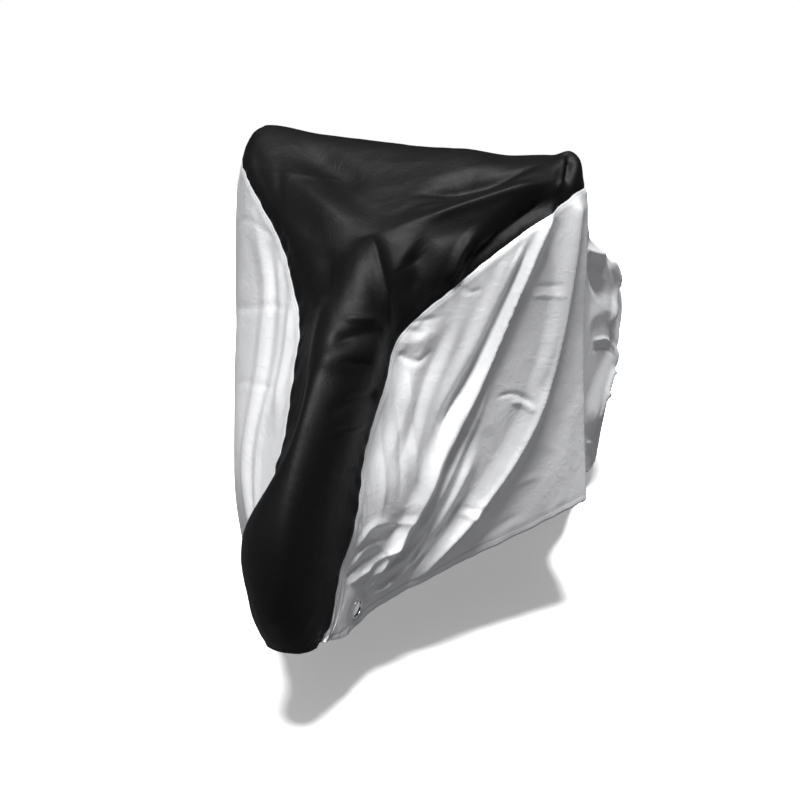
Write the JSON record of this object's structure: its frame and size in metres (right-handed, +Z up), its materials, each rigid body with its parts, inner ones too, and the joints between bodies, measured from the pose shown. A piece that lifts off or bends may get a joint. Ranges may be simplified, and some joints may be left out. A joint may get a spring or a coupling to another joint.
{
  "type": "bicycle cover",
  "caption": "Fitted two-tone cloth cover as it hangs over a parked upright bicycle: dark T-shaped centre panel, silver side panels and low front lock eyelets.",
  "frame": {"origin": "underside of the cloth where it lies on the middle of the handlebar", "axes": "+Y towards the rear of the bicycle, +X towards its left side, +Z up"},
  "size_m": [0.6751, 1.7889, 0.9278],
  "materials": {
    "dark_cloth": "semi-matt coated nylon",
    "silver_cloth": "silver-coated polyester with a soft metallic sheen",
    "eyelet_metal": "bright pressed metal"
  },
  "bodies": {
    "root": {"centre_panel": "dark_cloth", "side_panel_left": "silver_cloth", "side_panel_right": "silver_cloth", "eyelet_patch_left": "silver_cloth", "eyelet_patch_right": "silver_cloth", "eyelet_left": "eyelet_metal", "eyelet_right": "eyelet_metal"}
  },
  "joints": []
}
